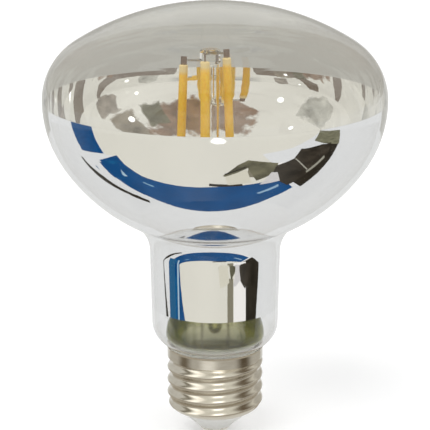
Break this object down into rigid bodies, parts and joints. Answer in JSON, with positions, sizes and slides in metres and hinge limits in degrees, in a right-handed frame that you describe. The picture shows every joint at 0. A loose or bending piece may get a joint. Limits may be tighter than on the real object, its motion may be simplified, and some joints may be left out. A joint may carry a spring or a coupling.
{
  "type": "reflector bulb",
  "caption": "Reflector bulb with a clear domed front, a mirrored bowl and neck, upright LED filaments on a glass stem, and a nickel screw cap.",
  "frame": {"origin": "centre of the end contact's flat face, at the lower end of the screw cap", "axes": "+Z along the bulb's axis from the end contact to the dome; -Y is the side the picture shows"},
  "size_m": [0.092, 0.092, 0.1194],
  "materials": {
    "clear_glass": "clear polished",
    "stem_glass": "clear, slightly green",
    "mirror": "bright vacuum-deposited mirror",
    "phosphor": "satin yellow",
    "strip_metal": "dull",
    "wire_metal": "drawn",
    "cap_metal": "nickel plated",
    "contact_metal": "nickel plated",
    "insulator": "moulded",
    "cement": "cast cement",
    "board": "solder mask",
    "chip_body": "moulded",
    "capacitor_can": "shrink sleeve",
    "resistor_body": "dipped"
  },
  "bodies": {
    "root": {"bridge_rectifier": "chip_body", "cap_insulator": "insulator", "cap_shell": "cap_metal", "cement_ring": "cement", "driver_board": "board", "driver_chip": "chip_body", "end_contact": "contact_metal", "filament_phosphor_front": "phosphor", "filament_phosphor_left": "phosphor", "filament_phosphor_rear": "phosphor", "filament_phosphor_right": "phosphor", "filament_strip_front": "strip_metal", "filament_strip_left": "strip_metal", "filament_strip_rear": "strip_metal", "filament_strip_right": "strip_metal", "fusible_resistor": "resistor_body", "glass_envelope": "clear_glass", "glass_stem": "stem_glass", "lead_wire_left": "wire_metal", "lead_wire_right": "wire_metal", "lower_bridge_wire": "wire_metal", "mirror_coating": "mirror", "shell_wire": "wire_metal", "smoothing_capacitor": "capacitor_can", "upper_bridge_wire_front": "wire_metal", "upper_bridge_wire_rear": "wire_metal"}
  },
  "joints": []
}
